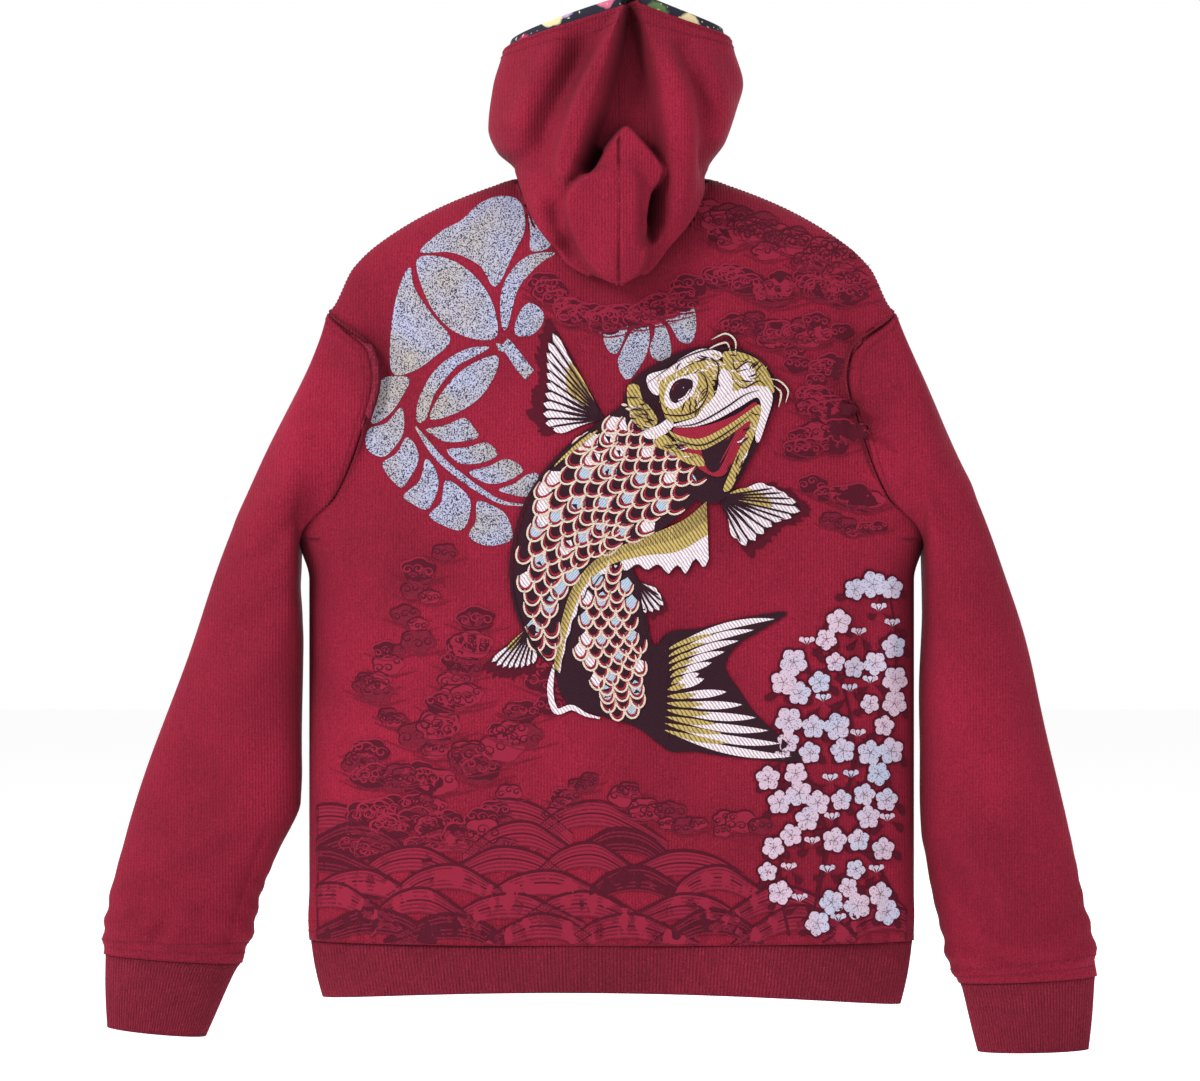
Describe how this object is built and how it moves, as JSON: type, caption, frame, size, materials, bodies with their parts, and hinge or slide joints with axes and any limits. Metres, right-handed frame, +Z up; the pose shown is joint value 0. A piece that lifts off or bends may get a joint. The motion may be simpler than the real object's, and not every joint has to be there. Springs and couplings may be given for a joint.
{
  "type": "hooded zip sweatshirt",
  "caption": "Hooded zip sweatshirt that hangs by its neck, with hinged sleeves and hood, a sliding zip and a stitched carp on its back.",
  "frame": {"origin": "middle of the neck between the inner ends of the shoulder seams, where a neck or a hanger carries the garment", "axes": "+Z up along the hanging body, +Y towards the zipped front, -Y towards the decorated back, +X to the right as the back is seen"},
  "size_m": [0.8545, 0.1446, 0.9023],
  "materials": {
    "sweatshirt_fleece": "crimson brushed-back sweatshirt knit",
    "rib_knit": "crimson one-by-one rib knit",
    "floral_lining": "printed floral woven cotton",
    "embroidery_thread": "satin-stitched rayon thread",
    "twill_tape": "woven twill tape",
    "label_satin": "blank woven satin",
    "zip_brass": "antique brass zip parts"
  },
  "bodies": {
    "torso": {"back_panel": "sweatshirt_fleece", "front_left_panel": "sweatshirt_fleece", "front_right_panel": "sweatshirt_fleece", "hem_band": "rib_knit", "hood_base": "sweatshirt_fleece", "neck_tape": "twill_tape", "size_label": "label_satin", "care_label": "label_satin", "pocket_left": "sweatshirt_fleece", "pocket_right": "sweatshirt_fleece", "zip_tape_left": "twill_tape", "zip_tape_right": "twill_tape", "zip_teeth_left": "zip_brass", "zip_teeth_right": "zip_brass", "zip_top_stop_left": "zip_brass", "zip_top_stop_right": "zip_brass", "zip_retainer_box": "zip_brass", "zip_pin": "zip_brass", "carp_head": "embroidery_thread", "carp_body": "embroidery_thread", "carp_tail_upper": "embroidery_thread", "carp_tail_lower": "embroidery_thread", "carp_upper_fin": "embroidery_thread", "carp_right_fin": "embroidery_thread", "carp_left_fin": "embroidery_thread", "carp_pelvic_fin": "embroidery_thread"},
    "left_sleeve_body": {"left_sleeve": "sweatshirt_fleece", "left_cuff": "rib_knit"},
    "right_sleeve_body": {"right_sleeve": "sweatshirt_fleece", "right_cuff": "rib_knit"},
    "hood_body": {"hood_left_panel": "sweatshirt_fleece", "hood_right_panel": "sweatshirt_fleece", "hood_lining_left": "floral_lining", "hood_lining_right": "floral_lining"},
    "slider_body": {"zip_slider": "zip_brass"},
    "pull_body": {"zip_pull": "zip_brass"}
  },
  "joints": [
    {"name": "left_shoulder", "type": "hinge", "parent": "torso", "child": "left_sleeve_body", "pos_m": [-0.243, 0, -0.107], "axis": [0, 1, 0], "range_deg": [0, 60]},
    {"name": "right_shoulder", "type": "hinge", "parent": "torso", "child": "right_sleeve_body", "pos_m": [0.243, 0, -0.107], "axis": [0, -1, 0], "range_deg": [0, 60]},
    {"name": "hood_tip", "type": "hinge", "parent": "torso", "child": "hood_body", "pos_m": [0, 0.02, 0], "axis": [-1, 0, 0], "range_deg": [0, 20]},
    {"name": "zip_slide", "type": "slide", "parent": "torso", "child": "slider_body", "axis": [0, 0, -1], "range_m": [0, 0.56]},
    {"name": "pull_swing", "type": "hinge", "parent": "slider_body", "child": "pull_body", "pos_m": [0, 0.05784, -0.1005], "axis": [1, 0, 0], "range_deg": [0, 150]}
  ]
}
